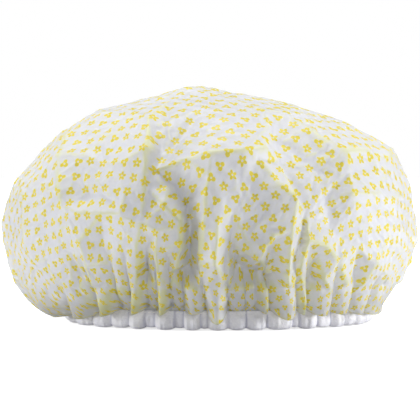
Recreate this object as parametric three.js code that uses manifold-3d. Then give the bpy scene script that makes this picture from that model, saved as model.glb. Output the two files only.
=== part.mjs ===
// A lined shower cap, standing on its gathered rim as if it were on a head.
// A printed film dome and a soft terry lining are gathered together into a folded tape.
// The tape is sewn round their edges and carries a flat elastic in its fold.
// Millimetres, +Z up, +X to the cap's right-hand side, -Y towards the viewer of the front.
import * as THREE from "three";
import { mergeVertices } from "three/addons/utils/BufferGeometryUtils.js";
import Module from "manifold-3d";

const wasm = await Module();
wasm.setup();

// Overall sizes
const capWidth = 296;
const capDepth = 256;
const capHeight = 170;
const domeShift = -7; // the dome is pulled to the left over the rim
const crownShift = -6; // and the crown's highest point lies further left
const rimWidth = 212; // of the elastic's own line
const rimDepth = 190;

// Cloth
const filmThickness = 0.3;
const liningThickness = 1.2;
const layerGap = 0.3; // between two pieces that lie against each other

// Tape round the rim
const tapeThickness = 0.8;
const tapeHeight = 14;
const tapeFootWidth = 3; // the flat foot of the folded tape
const tapePuffOut = 2.4; // how far a lobe swells between two pinches
const tapePuffIn = 1;
const tapeScallop = 1.9; // how much higher a pinch is than a lobe's foot
const standCut = 0.5; // the lobes' feet are flattened by this much
const gripHeight = 3.2; // the top of the tape that grips the cloth edges
const bulgeShare = 0.75; // the tape is fullest at this share of the elastic's width

// Elastic in the fold of the tape
const elasticThickness = 0.8;
const elasticWidth = 6;
const elasticLap = 14; // its ends overlap by this length at the back

// Sewing thread
const threadDiameter = 0.4;
const tackWidth = 4;
const tackStep = 1.1;
const tackTurns = 8;

// Gathers: each pleat has one crest and one valley column
const pleatCount = 36;
const pleatDepth = 6.5; // of the full gathers, just above the tape
const gatherSwayShare = 0.32; // how far a column strays, as a share of the column pitch
const valleyBiasShare = 0.3; // pleats lie more inside the smooth dome than outside it
const rimPleatDepth = 1.2; // in the grip of the tape
const foldDepth = 6; // of the longest folds of the dome
const cutOverrun = 5;

const columnCount = 2 * pleatCount;
const columnPitch = (2 * Math.PI) / columnCount;

// The grip holds the film, the lining and the gaps on each side of them.
const stackThickness = filmThickness + layerGap + liningThickness;
const gripHalf = stackThickness / 2 + layerGap;
// The fold has room for the elastic's two lapped ends, the tack on them and a gap on each side.
const lapThickness = 2 * elasticThickness + layerGap;
const foldHalf = lapThickness / 2 + layerGap + threadDiameter + layerGap;
const foldFloor = tapeThickness;
const elasticFoot = foldFloor + tapeScallop + layerGap;
const elasticTop = elasticFoot + elasticWidth;
const bulgeHeight = elasticFoot + bulgeShare * elasticWidth;
const clothFoot = elasticTop + 2 * layerGap;
const gripFoot = tapeHeight - gripHeight;
const filmOuter = stackThickness / 2; // of the film's outer face, from the middle of the stack
const liningOuter = filmOuter - filmThickness - layerGap;
// The cloth leaves the tape, turns outwards over its outer leg and then hangs in the first fold.
const exitHeight = tapeHeight + filmOuter + layerGap;
const brimReach = gripHalf + tapeThickness + rimPleatDepth / 2 + layerGap;
const brimHeight = exitHeight + 2 * layerGap;

// Meridian stations from the cloth's edge to the crown: the edge, the exit, the brim over the
// tape, the first fold, and from there a table for each quarter. A reachShare is a share of
// the half width or half depth, and a heightShare a share of the cap's height.
const flareReach = 10; // how far the first fold stands off the rim line, on average
const stations = {
  right: {
    flareReachShare: 1.2,
    flareHeightShare: 0.045,
    reachShares: [0.915, 0.988, 1.0, 0.965, 0.867, 0.65, 0.3],
    heightShares: [0.155, 0.295, 0.445, 0.59, 0.745, 0.835, 0.94],
  },
  back: {
    flareReachShare: 0.9,
    flareHeightShare: 0.112,
    reachShares: [0.88, 0.965, 1.0, 0.965, 0.85, 0.635, 0.33],
    heightShares: [0.185, 0.32, 0.46, 0.6, 0.745, 0.85, 0.945],
  },
  left: {
    flareReachShare: 1.4,
    flareHeightShare: 0.035,
    reachShares: [0.927, 0.99, 0.998, 0.935, 0.805, 0.61, 0.32],
    heightShares: [0.155, 0.295, 0.445, 0.59, 0.745, 0.835, 0.945],
  },
  front: {
    flareReachShare: 0.9,
    flareHeightShare: 0.115,
    reachShares: [0.87, 0.955, 1.0, 0.97, 0.86, 0.64, 0.32],
    heightShares: [0.185, 0.32, 0.46, 0.6, 0.74, 0.85, 0.945],
  },
};
const flareStation = 3;
const lastPleatedStation = 5; // above it only every second column goes on
const topStation = 10;

// Depth of the gathers from the first fold upwards, as shares of pleatDepth
const pleatDepthShares = [0.46, 1, 0.77];

// Long folds of the dome. at is degrees round from +X, width is their half width in degrees,
// and fromShare and toShare say where they begin and end in the cap's height. riseShare is a
// share of foldDepth, positive for a ridge and negative for a valley.
const longFolds = [
  { at: 200, width: 9, riseShare: -1, fromShare: 0.05, toShare: 0.8 },
  { at: 214, width: 10, riseShare: 0.67, fromShare: 0.1, toShare: 0.9 },
  { at: 231, width: 8, riseShare: -0.67, fromShare: 0.1, toShare: 0.75 },
  { at: 245, width: 9, riseShare: 0.83, fromShare: 0.1, toShare: 0.95 },
  { at: 262, width: 8, riseShare: -1, fromShare: 0.08, toShare: 0.7 },
  { at: 273, width: 7, riseShare: 0.67, fromShare: 0.08, toShare: 0.8 },
  { at: 285, width: 8, riseShare: -0.83, fromShare: 0.08, toShare: 0.6 },
  { at: 303, width: 9, riseShare: 0.83, fromShare: 0.08, toShare: 0.9 },
  { at: 318, width: 8, riseShare: -0.67, fromShare: 0.05, toShare: 0.55 },
  { at: 334, width: 10, riseShare: 0.5, fromShare: 0.1, toShare: 0.9 },
  { at: 348, width: 8, riseShare: -0.67, fromShare: 0.1, toShare: 0.75 },
  { at: 22, width: 10, riseShare: 0.67, fromShare: 0.1, toShare: 0.85 },
  { at: 41, width: 9, riseShare: -0.83, fromShare: 0.08, toShare: 0.7 },
  { at: 62, width: 10, riseShare: 0.67, fromShare: 0.1, toShare: 0.9 },
  { at: 84, width: 9, riseShare: -0.83, fromShare: 0.08, toShare: 0.65 },
  { at: 103, width: 10, riseShare: 0.67, fromShare: 0.1, toShare: 0.9 },
  { at: 124, width: 9, riseShare: -0.83, fromShare: 0.08, toShare: 0.7 },
  { at: 146, width: 10, riseShare: 0.67, fromShare: 0.1, toShare: 0.85 },
  { at: 166, width: 9, riseShare: -0.67, fromShare: 0.08, toShare: 0.75 },
];

// Columns

// Azimuth of a column. The gathers are uneven, so the columns stray from an even pitch.
function azimuthOf(column) {
  const even = column * columnPitch;
  const sway = Math.sin(5 * even + 0.6) + Math.sin(9 * even + 2.1);
  return even + 0.5 * gatherSwayShare * columnPitch * sway;
}

// 1 on a crest column, -1 in a valley
function crestOrValley(column) {
  return column % 2 === 0 ? 1 : -1;
}

// How strong a pleat is, from about a half to one
function pleatStrength(azimuth) {
  return 0.78 + 0.12 * Math.sin(3 * azimuth + 1) + 0.1 * Math.sin(7 * azimuth);
}

// Points and directions

// A point beside the rim line: offset is outwards from it
function rimPoint(azimuth, offset, height) {
  const halfX = rimWidth / 2;
  const halfY = rimDepth / 2;
  const normal = new THREE.Vector2(
    halfY * Math.cos(azimuth),
    halfX * Math.sin(azimuth),
  ).normalize();
  return new THREE.Vector3(
    halfX * Math.cos(azimuth) + offset * normal.x,
    halfY * Math.sin(azimuth) + offset * normal.y,
    height,
  );
}

// Value of a share table between the four quarters: x from left or right, y from front or back
function sideways(azimuth, pick) {
  const right = (1 + Math.cos(azimuth)) / 2;
  return right * pick(stations.right) + (1 - right) * pick(stations.left);
}

function lengthways(azimuth, pick) {
  const back = (1 + Math.sin(azimuth)) / 2;
  return back * pick(stations.back) + (1 - back) * pick(stations.front);
}

// The dome's smooth outer surface, without gathers, on the middle line of the film and lining
function smoothPoint(azimuth, station) {
  if (station === 0) return rimPoint(azimuth, 0, clothFoot);
  if (station === 1) return rimPoint(azimuth, 0, exitHeight);
  if (station === 2) return rimPoint(azimuth, brimReach, brimHeight);
  const xPart = Math.cos(azimuth) ** 2;
  const blend = (x, y) => xPart * x + (1 - xPart) * y;
  const between = (pick) => blend(sideways(azimuth, pick), lengthways(azimuth, pick));
  if (station === flareStation) {
    const reach = flareReach * between((side) => side.flareReachShare);
    const rise = between((side) => side.flareHeightShare);
    return rimPoint(azimuth, reach, rise * capHeight);
  }
  if (station > topStation) {
    return new THREE.Vector3(domeShift + crownShift, 0, capHeight);
  }
  const row = station - flareStation - 1;
  const reach = (side) => side.reachShares[row];
  const rise = between((side) => side.heightShares[row]);
  const upper = Math.max(0, 2 * rise - 1);
  return new THREE.Vector3(
    (sideways(azimuth, reach) * capWidth * Math.cos(azimuth)) / 2 +
      domeShift +
      crownShift * upper ** 2,
    (lengthways(azimuth, reach) * capDepth * Math.sin(azimuth)) / 2,
    rise * capHeight,
  );
}

// Level direction away from the rim line
function outwards(azimuth) {
  return rimPoint(azimuth, 1, 0).sub(rimPoint(azimuth, 0, 0));
}

// Outward direction of the smooth surface, lengthened where the cloth turns a corner
function smoothNormal(azimuth, station) {
  if (station === 0) return outwards(azimuth);
  if (station === 1) return outwards(azimuth).add(new THREE.Vector3(0, 0, -1));
  if (station > topStation) return new THREE.Vector3(0, 0, 1);
  const along = smoothPoint(azimuth, station + 1).sub(
    smoothPoint(azimuth, station - 1),
  );
  const around = smoothPoint(azimuth + columnPitch, station).sub(
    smoothPoint(azimuth - columnPitch, station),
  );
  return around.cross(along).normalize();
}

// Rise of the long folds at a point of the smooth surface
function longFoldRise(azimuth, point) {
  const heightShare = point.z / capHeight;
  const degrees = THREE.MathUtils.radToDeg(azimuth);
  let total = 0;
  for (const fold of longFolds) {
    const gap = Math.abs(((degrees - fold.at + 540) % 360) - 180);
    const near = Math.exp(-((gap / fold.width) ** 2));
    const past = (heightShare - fold.fromShare) / (fold.toShare - fold.fromShare);
    const inside = past > 0 && past < 1 ? Math.sin(Math.PI * past) : 0;
    total += fold.riseShare * foldDepth * near * inside;
  }
  return total;
}

// A point of the cloth: the smooth surface, its pleat and its long folds, moved by an offset
function clothPoint(column, station, offset) {
  const azimuth = azimuthOf(column);
  const smooth = smoothPoint(azimuth, station);
  const normal = smoothNormal(azimuth, station);
  if (station < flareStation) {
    return smooth
      .addScaledVector(outwards(azimuth), gripWave(column))
      .addScaledVector(normal, offset);
  }
  const share = pleatDepthShares[station - flareStation] ?? 0;
  const depth = pleatStrength(azimuth) * pleatDepth * share;
  const pleat = (depth * (crestOrValley(column) - valleyBiasShare)) / 2;
  const rise = pleat + longFoldRise(azimuth, smooth);
  return smooth.addScaledVector(normal, rise + offset);
}

// Wave of the cloth edges in the grip of the tape
function gripWave(column) {
  return (crestOrValley(column) * rimPleatDepth) / 2;
}

// Solids from rings of points

// Collects corners and triangles, and turns them into one closed geometry
class Hull {
  constructor() {
    this.corners = [];
  }

  triangle(a, b, c) {
    this.corners.push(a, b, c);
  }

  quad(a, b, c, d) {
    this.triangle(a, b, c);
    this.triangle(a, c, d);
  }

  // Joins two rings, the second with as many points or half as many
  band(lower, upper) {
    const halved = lower.length === 2 * upper.length;
    upper.forEach((above, i) => {
      const next = upper[(i + 1) % upper.length];
      if (!halved) {
        this.quad(lower[i], lower[(i + 1) % lower.length], next, above);
        return;
      }
      const start = lower[2 * i];
      const middle = lower[2 * i + 1];
      const end = lower[(2 * i + 2) % lower.length];
      this.triangle(start, middle, above);
      this.triangle(middle, next, above);
      this.triangle(middle, end, next);
    });
  }

  fan(ring, tip) {
    ring.forEach((point, i) =>
      this.triangle(point, ring[(i + 1) % ring.length], tip),
    );
  }

  geometry() {
    const flat = this.corners.flatMap((p) => [p.x, p.y, p.z]);
    const made = new THREE.BufferGeometry().setAttribute(
      "position",
      new THREE.Float32BufferAttribute(flat, 3),
    );
    return mergeVertices(made);
  }
}

// A surface's rings from the edge to the crown, and its tip
function clothRings(offset) {
  const rings = [];
  for (let station = 0; station <= topStation; station += 1) {
    const step = station > lastPleatedStation ? 2 : 1;
    const ring = [];
    for (let column = 0; column < columnCount; column += step) {
      ring.push(clothPoint(column, station, offset));
    }
    rings.push(ring);
  }
  return { rings, tip: clothPoint(0, topStation + 1, offset) };
}

// A dome of cloth between two offsets from the middle line
function clothDome(outerOffset, thickness) {
  const outer = clothRings(outerOffset);
  const inner = clothRings(outerOffset - thickness);
  const shell = new Hull();
  const inside = new Hull();
  for (let i = 1; i < outer.rings.length; i += 1) {
    shell.band(outer.rings[i - 1], outer.rings[i]);
    inside.band(inner.rings[i - 1], inner.rings[i]);
  }
  shell.fan(outer.rings.at(-1), outer.tip);
  inside.fan(inner.rings.at(-1), inner.tip);
  // The inner surface faces the other way.
  for (let i = 0; i < inside.corners.length; i += 3) {
    const [a, b, c] = inside.corners.slice(i, i + 3);
    shell.triangle(a, c, b);
  }
  shell.band(inner.rings[0], outer.rings[0]);
  return shell.geometry();
}

// A closed band round the rim. Each section is a ring of points, from outside up and inwards.
function closedBand(sections) {
  const hull = new Hull();
  sections.forEach((section, i) =>
    hull.band(sections[(i + 1) % sections.length], section),
  );
  return hull.geometry();
}

// A strip or thread with two flat ends
function openBand(sections) {
  const hull = new Hull();
  for (let i = 1; i < sections.length; i += 1) {
    hull.band(sections[i], sections[i - 1]);
  }
  const middleOf = (section) =>
    section
      .reduce((sum, p) => sum.add(p), new THREE.Vector3())
      .divideScalar(section.length);
  hull.fan(sections[0], middleOf(sections[0]));
  hull.fan([...sections.at(-1)].reverse(), middleOf(sections.at(-1)));
  return hull.geometry();
}

// Solids with manifold-3d, for the one flat cut

function toSolid(geometry) {
  const plain = geometry.clone();
  plain.deleteAttribute("normal");
  plain.deleteAttribute("uv");
  const merged = mergeVertices(plain);
  return new wasm.Manifold(
    new wasm.Mesh({
      numProp: 3,
      vertProperties: merged.attributes.position.array,
      triVerts: new Uint32Array(merged.index.array),
    }),
  );
}

function toGeometry(solid) {
  const mesh = solid.getMesh();
  const made = new THREE.BufferGeometry();
  made.setAttribute(
    "position",
    new THREE.BufferAttribute(mesh.vertProperties, 3),
  );
  made.setIndex(new THREE.BufferAttribute(mesh.triVerts, 1));
  return made;
}

// Pieces

// Section of the folded tape at one column, as offset and height pairs, from its foot round
// the outer leg, down into the fold and up the inner leg.
function tapeSection(column) {
  const crest = (1 + crestOrValley(column)) / 2;
  const strength = pleatStrength(azimuthOf(column));
  const wave = gripWave(column);
  const foot = (1 - crest) * tapeScallop - standCut;
  const puffOut = crest * strength * tapePuffOut;
  const puffIn = crest * strength * tapePuffIn;
  return [
    [tapeFootWidth / 2 + puffOut / 2, foot],
    [foldHalf + tapeThickness + puffOut, bulgeHeight],
    [wave + gripHalf + tapeThickness, gripFoot],
    [wave + gripHalf + tapeThickness, tapeHeight],
    [wave + gripHalf, tapeHeight],
    [wave + gripHalf, gripFoot],
    [foldHalf + puffOut, bulgeHeight],
    [foldHalf, foldFloor + foot + standCut],
    [-foldHalf, foldFloor + foot + standCut],
    [-foldHalf - puffIn, bulgeHeight],
    [wave - gripHalf, gripFoot],
    [wave - gripHalf, tapeHeight],
    [wave - gripHalf - tapeThickness, tapeHeight],
    [wave - gripHalf - tapeThickness, gripFoot],
    [-foldHalf - tapeThickness - puffIn, bulgeHeight],
    [-tapeFootWidth / 2 - puffIn / 2, foot],
  ];
}

function rimBinding() {
  const sections = [];
  for (let column = 0; column < columnCount; column += 1) {
    const azimuth = azimuthOf(column);
    sections.push(
      tapeSection(column).map(([offset, height]) =>
        rimPoint(azimuth, offset, height),
      ),
    );
  }
  const below = new THREE.BoxGeometry(
    rimWidth + capWidth,
    rimDepth + capDepth,
    cutOverrun,
  ).translate(0, 0, -cutOverrun / 2);
  return toGeometry(toSolid(closedBand(sections)).subtract(toSolid(below)));
}

// The elastic is one strip whose ends lap at the back. Over the lap it lies on two levels.
const lapAngle = elasticLap / (rimWidth / 2);
const lapMiddle = Math.PI / 2;
const elasticSteps = columnCount;
const lapShift = (elasticThickness + layerGap) / 2;

function elasticLoop() {
  const sections = [];
  const sweep = 2 * Math.PI + lapAngle;
  for (let i = 0; i <= elasticSteps; i += 1) {
    const share = i / elasticSteps;
    const azimuth = lapMiddle - lapAngle / 2 + share * sweep;
    const middle = lapShift * (2 * share - 1);
    const half = elasticThickness / 2;
    sections.push([
      rimPoint(azimuth, middle + half, elasticFoot),
      rimPoint(azimuth, middle + half, elasticTop),
      rimPoint(azimuth, middle - half, elasticTop),
      rimPoint(azimuth, middle - half, elasticFoot),
    ]);
  }
  return openBand(sections);
}

// A diamond of thread at a place beside the rim line, as tall as the thread's slope needs
function threadSection(azimuth, offset, height, slant = 1) {
  const half = threadDiameter / 2;
  return [
    rimPoint(azimuth, offset + half, height),
    rimPoint(azimuth, offset, height + half * slant),
    rimPoint(azimuth, offset - half, height),
    rimPoint(azimuth, offset, height - half * slant),
  ];
}

// The tack is a zigzag of thread over the outer face of the lap. Its turns are mitred.
function elasticTack() {
  const offset = lapThickness / 2 + layerGap + threadDiameter / 2;
  const middleHeight = elasticFoot + elasticWidth / 2;
  const slant = Math.hypot(tackStep, tackWidth) / tackStep;
  const sections = [];
  for (let i = 0; i <= tackTurns; i += 1) {
    const rise = (i % 2 === 0 ? 1 : -1) * (tackWidth / 2);
    const along = (i - tackTurns / 2) * tackStep;
    const azimuth = lapMiddle + along / (rimWidth / 2);
    sections.push(threadSection(azimuth, offset, middleHeight + rise, slant));
  }
  return openBand(sections);
}

// A row of thread round the tape's grip, on its outer or its inner face
function seamThread(face) {
  const clear = gripHalf + tapeThickness + layerGap + threadDiameter / 2;
  const height = (gripFoot + tapeHeight) / 2;
  const sections = [];
  for (let column = 0; column < columnCount; column += 1) {
    const offset = gripWave(column) + face * clear;
    sections.push(threadSection(azimuthOf(column), offset, height));
  }
  return closedBand(sections);
}

// Materials

function finish(color, roughness, metalness = 0) {
  return new THREE.MeshStandardMaterial({ color, roughness, metalness });
}

const printedFilm = finish(0xf1f0dc, 0.35);
const terry = finish(0xf4f4f6, 0.95);
const tape = finish(0xe9e9f0, 0.85);
const rubberElastic = finish(0xf5f3ec, 0.75);
const thread = finish(0xffffff, 0.6);

// Assembly

const cap = new THREE.Group();

function add(name, geometry, material) {
  const piece = new THREE.Mesh(geometry, material);
  piece.name = name;
  cap.add(piece);
}

add("printed_film", clothDome(filmOuter, filmThickness), printedFilm);
add("terry_lining", clothDome(liningOuter, liningThickness), terry);
add("rim_binding", rimBinding(), tape);
add("elastic_loop", elasticLoop(), rubberElastic);
add("elastic_tack_thread", elasticTack(), thread);
add("outer_seam_thread", seamThread(1), thread);
add("inner_seam_thread", seamThread(-1), thread);

// The origin is at the middle of the cap's box, on the surface that it stands on.
const box = new THREE.Box3().setFromObject(cap);
const middle = box.getCenter(new THREE.Vector3());
cap.position.set(-middle.x, -middle.y, -box.min.z);

export default cap;
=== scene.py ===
# %% [markdown]
# # A lined shower cap, dressed around its CAD frame
#
# The real cap is a large disc of thin printed film and a disc of soft terry lining. Their
# edges are gathered together into a folded terry tape with an elastic inside, which pulls
# them in to the size of a head. The spare film puffs up over it in folds.
# The CAD frame gives each piece its size and place. This file makes the looks: the folds by
# a cloth simulation, and every surface by a procedural material.

# %% Tools and the frame
import bisect
import functools
import math
import random

import bmesh
import bpy
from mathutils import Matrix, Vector, noise
from mathutils.bvhtree import BVHTree
from mathutils.geometry import barycentric_transform, delaunay_2d_cdt
from mathutils.kdtree import KDTree


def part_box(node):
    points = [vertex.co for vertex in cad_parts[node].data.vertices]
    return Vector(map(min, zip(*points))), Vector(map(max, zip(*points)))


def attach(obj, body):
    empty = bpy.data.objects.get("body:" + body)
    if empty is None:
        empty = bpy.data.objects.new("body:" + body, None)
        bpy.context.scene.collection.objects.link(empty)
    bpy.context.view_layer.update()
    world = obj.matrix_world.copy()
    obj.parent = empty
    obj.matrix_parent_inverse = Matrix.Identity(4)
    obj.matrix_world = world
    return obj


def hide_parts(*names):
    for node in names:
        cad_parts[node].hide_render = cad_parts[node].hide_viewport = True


MM = 0.001
FULL_TURN = 2 * math.pi

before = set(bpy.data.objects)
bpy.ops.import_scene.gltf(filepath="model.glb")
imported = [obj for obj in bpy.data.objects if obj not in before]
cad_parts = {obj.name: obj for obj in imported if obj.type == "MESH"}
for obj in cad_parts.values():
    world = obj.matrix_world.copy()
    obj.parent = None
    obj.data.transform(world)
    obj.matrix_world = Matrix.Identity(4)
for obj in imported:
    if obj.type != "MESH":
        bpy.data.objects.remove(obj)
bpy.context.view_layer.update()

# %% [markdown]
# ## The camera
#
# The photograph looks at the cap's front, a little from above, from far away: the cap's left
# and right sides show no perspective. A long lens far off gives the same view. The distance
# is free, so the lens is worked out from it and from the size that one pixel has at the cap.

# %% Camera
IMAGE = 420  # the photograph's width and height in pixels
PIXEL = 0.72 * MM  # what one of them covers at the cap
TILT = math.radians(2.4)
CAMERA_DISTANCE = 3.0
rim_low, rim_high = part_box("elastic_loop")
RIM_CENTRE = Vector(((rim_low.x + rim_high.x) / 2, (rim_low.y + rim_high.y) / 2, 0))
AIM = RIM_CENTRE + Vector((-6.6, 0.0, 80.5)) * MM

camera_data = bpy.data.cameras.new("camera")
camera_data.lens = camera_data.sensor_width * CAMERA_DISTANCE / (IMAGE * PIXEL)
camera = bpy.data.objects.new("camera", camera_data)
bpy.context.scene.collection.objects.link(camera)
camera.location = AIM + CAMERA_DISTANCE * Vector((0, -math.cos(TILT), math.sin(TILT)))
camera.rotation_euler = (AIM - camera.location).to_track_quat("-Z", "Y").to_euler()
bpy.context.scene.camera = camera
print("lens in mm:", round(camera_data.lens))


def pixel_of(point):
    """The pixel of the photograph at which a point of the cap shows."""
    seen = point - AIM
    up = seen.z * math.cos(TILT) + seen.y * math.sin(TILT)
    return Vector((IMAGE / 2 + seen.x / PIXEL, IMAGE / 2 - up / PIXEL, 0))


# %% [markdown]
# ## Helpers
#
# Every material here is a tree of nodes, and every piece starts as a bmesh. A colour is
# written as it looks on the screen and turned to linear, which shaders reckon with. Nodes
# could be added and linked one line at a time; one function for both keeps a tree readable.


# %% Helpers for colours, nodes and pieces
def linear(hex_colour):
    """An sRGB colour such as #F4F4F6, as the linear colour that shaders read."""
    made = []
    for start in (1, 3, 5):
        value = int(hex_colour[start : start + 2], 16) / 255
        made.append(value / 12.92 if value <= 0.04045 else ((value + 0.055) / 1.055) ** 2.4)
    return (*made, 1.0)


def add_node(tree, kind, inputs=None, **settings):
    """Adds a node. For each socket that inputs names it has a value, another node's output,
    or the other node itself, for its first output."""
    made = tree.nodes.new("ShaderNode" + kind)
    for name, value in settings.items():
        setattr(made, name, value)
    for name, value in (inputs or {}).items():
        if isinstance(value, bpy.types.Node):
            value = value.outputs[0]
        if isinstance(value, bpy.types.NodeSocket):
            tree.links.new(value, made.inputs[name])
        else:
            made.inputs[name].default_value = value
    return made


def new_material(name):
    """A material with an empty node tree, and the tree."""
    made = bpy.data.materials.new(name)
    made.use_nodes = True
    made.node_tree.nodes.clear()
    return made, made.node_tree


def new_piece(name, shape):
    """An object with the mesh of a bmesh, which is freed, and with smooth faces."""
    mesh = bpy.data.meshes.new(name)
    shape.to_mesh(mesh)
    shape.free()
    for face in mesh.polygons:
        face.use_smooth = True
    made = bpy.data.objects.new(name, mesh)
    bpy.context.scene.collection.objects.link(made)
    return made


WHITE = linear("#FFFFFF")
print("white in linear values:", WHITE)

# %% [markdown]
# ## Studio
#
# The cap stands on a white floor in soft light: a wide lamp above, two low ones at the sides
# and a faint low one in front. The front gets the least, so its folds stay a little grey, as
# in the photograph. To the camera the floor gives off a little white of its own. It is then
# white where the light reaches it and keeps the cap's shadow.

# %% World
bpy.context.scene.view_settings.view_transform = "Standard"
ROOM_COLOUR = linear("#EEEFF8")
ROOM_STRENGTH = 0.24

world = bpy.data.worlds.new("studio")
world.use_nodes = True
bpy.context.scene.world = world
world.node_tree.nodes.clear()
rays = add_node(world.node_tree, "LightPath")
room = add_node(world.node_tree, "Background", {"Color": ROOM_COLOUR, "Strength": ROOM_STRENGTH})
white = add_node(world.node_tree, "Background", {"Color": WHITE, "Strength": 1.0})
seen = add_node(
    world.node_tree, "MixShader", {0: rays.outputs["Is Camera Ray"], 1: room, 2: white}
)
add_node(world.node_tree, "OutputWorld", {"Surface": seen})
print("world:", world.name)

# %% Floor
FLOOR_SIZE = 6.0
# the floor's own white to the camera goes up from beside the cap to further away
GLOW_NEAR, GLOW_FAR = 0.15, 0.6  # metres from the middle
GLOW_LEAST, GLOW_MOST = 0.76, 1.0

shape = bmesh.new()
bmesh.ops.create_grid(shape, x_segments=1, y_segments=1, size=FLOOR_SIZE / 2)
floor = new_piece("floor", shape)

floor_paint, tree = new_material("white_studio_floor")
rays = add_node(tree, "LightPath")
plain = add_node(tree, "BsdfDiffuse", {"Color": linear("#E8E8EA")})
lit = add_node(tree, "BsdfDiffuse", {"Color": linear("#F0F0F2")})
place = add_node(tree, "TexCoord")
away = add_node(tree, "VectorMath", {0: place.outputs["Object"]}, operation="LENGTH")
whiteness = add_node(
    tree,
    "MapRange",
    {0: away.outputs["Value"], 1: GLOW_NEAR, 2: GLOW_FAR, 3: GLOW_LEAST, 4: GLOW_MOST},
)
glow = add_node(tree, "Emission", {"Color": WHITE, "Strength": whiteness})
bright = add_node(tree, "AddShader", {0: lit, 1: glow})
seen = add_node(tree, "MixShader", {0: rays.outputs["Is Camera Ray"], 1: plain, 2: bright})
add_node(tree, "OutputMaterial", {"Surface": seen})
floor.data.materials.append(floor_paint)
print("floor:", FLOOR_SIZE, "m")

# %% Lamps
# place and size in metres and power in watts of each lamp
LAMPS = {
    "top_lamp": ((-0.1, 0.1, 1.3), 0.6, 15.0),
    "left_lamp": ((-1.15, -0.18, 0.12), 0.4, 7.4),
    "right_lamp": ((1.15, -0.2, 0.12), 0.4, 11.2),
    "low_front_lamp": ((0.1, -1.3, 0.05), 0.4, 3.5),
}
for name, (place, size, power) in LAMPS.items():
    lamp_data = bpy.data.lights.new(name, "AREA")
    lamp_data.size = size
    lamp_data.energy = power
    lamp = bpy.data.objects.new(name, lamp_data)
    bpy.context.scene.collection.objects.link(lamp)
    lamp.location = place
    lamp.rotation_euler = (AIM - Vector(place)).to_track_quat("-Z", "Y").to_euler()
print("lamps:", len(LAMPS))

# %% [markdown]
# ## The smooth form under the folds
#
# Without its folds the cap is a flat-bottomed dome. It could be a scaled sphere, but the real
# one is pulled to the left, steeper at the sides and hangs lower there. So tables give the
# reach and the height at a few rings, for each quarter, and smooth curves run between them.
# A ring is named by its share of the way from the crown, 0, to the gathered edge, 1, as it
# lies in the flat disc of film.

# %% Tables of the smooth form
RIM_HALF = Vector((106, 95)) * MM  # the elastic's line is this ellipse
DOME_HALF = Vector((149, 129)) * MM
DOME_HEIGHT = 170 * MM
print("rim centre in mm:", [round(value / MM, 2) for value in RIM_CENTRE])

# reach and height are shares of the dome's, at these rings; hang goes on from there to the
# tape, as (ring share, mm outside the rim's line, mm above the floor)
RING_SHARES = (0.16, 0.31, 0.42, 0.52, 0.62, 0.72, 0.83)
QUARTERS = {
    "right": {
        "reach": (0.3, 0.65, 0.867, 0.965, 1.0, 0.985, 0.895),
        "height": (0.94, 0.835, 0.745, 0.59, 0.445, 0.295, 0.155),
        "hang": ((0.9, 14, 13), (0.945, 7, 6.5), (0.97, 5, 14.5)),
    },
    "left": {
        "reach": (0.32, 0.61, 0.805, 0.935, 0.998, 0.99, 0.927),
        "height": (0.945, 0.835, 0.745, 0.59, 0.445, 0.295, 0.155),
        "hang": ((0.9, 21, 10), (0.945, 11, 4.5), (0.97, 5, 14)),
    },
    "back": {
        "reach": (0.33, 0.635, 0.85, 0.965, 1.0, 0.965, 0.88),
        "height": (0.945, 0.85, 0.745, 0.6, 0.46, 0.32, 0.185),
        "hang": ((0.9, 14, 18), (0.945, 8.5, 14), (0.97, 5, 16)),
    },
    "front": {
        "reach": (0.32, 0.64, 0.86, 0.97, 1.0, 0.955, 0.87),
        "height": (0.945, 0.85, 0.74, 0.6, 0.46, 0.32, 0.185),
        "hang": ((0.9, 14, 18), (0.945, 8.5, 14), (0.97, 5, 16)),
    },
}
# the dome's shift to the left of the rim, in mm, by ring share
SHIFTS = (
    (0.0, -13.0),
    (0.16, -11.6),
    (0.31, -9.7),
    (0.42, -8.4),
    (0.52, -7.2),
    (0.83, -7.0),
    (0.9, -3.0),
    (0.945, 0.0),
    (1.0, 0.0),
)
SEAM_SHARE = 0.985  # from here outwards the film is in the tape's grip
GRIP_OFFSET = 0.75  # mm outside the rim's line
SEAM_HEIGHT = 14.9  # mm
EDGE_HEIGHT = 11.5  # mm
print("rings:", len(RING_SHARES))


# %% Curves through the tables
def ease(start, end, value):
    """0 at start and 1 at end, smooth between them."""
    u = max(0.0, min(1.0, (value - start) / (end - start)))
    return u * u * (3 - 2 * u)


def curve_through(rows, share):
    """Values at a share, on a smooth curve through rows of (share, value, value...)."""
    shares = [row[0] for row in rows]
    i = min(max(bisect.bisect_right(shares, share) - 1, 0), len(rows) - 2)
    before, start, end = rows[max(i - 1, 0)], rows[i], rows[i + 1]
    after = rows[min(i + 2, len(rows) - 1)]
    step = end[0] - start[0]
    u = (share - start[0]) / step
    made = []
    for k in range(1, len(start)):
        leave = (end[k] - before[k]) / (end[0] - before[0]) * step
        arrive = (after[k] - start[k]) / (after[0] - start[0]) * step
        made.append(
            (2 * u**3 - 3 * u**2 + 1) * start[k]
            + (u**3 - 2 * u**2 + u) * leave
            + (3 * u**2 - 2 * u**3) * end[k]
            + (u**3 - u**2) * arrive
        )
    return made


def quarter_rows(name, dome_half, rim_half):
    """A quarter's whole curve, from the crown to the film's edge, as (share, reach, height)."""
    quarter = QUARTERS[name]
    rows = [(0.0, 0.0, DOME_HEIGHT)]
    for share, reach, height in zip(RING_SHARES, quarter["reach"], quarter["height"]):
        rows.append((share, reach * dome_half, height * DOME_HEIGHT))
    for share, offset, height in quarter["hang"]:
        rows.append((share, rim_half + offset * MM, height * MM))
    rows.append((SEAM_SHARE, rim_half + GRIP_OFFSET * MM, SEAM_HEIGHT * MM))
    rows.append((1.0, rim_half + GRIP_OFFSET * MM, EDGE_HEIGHT * MM))
    return rows


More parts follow.
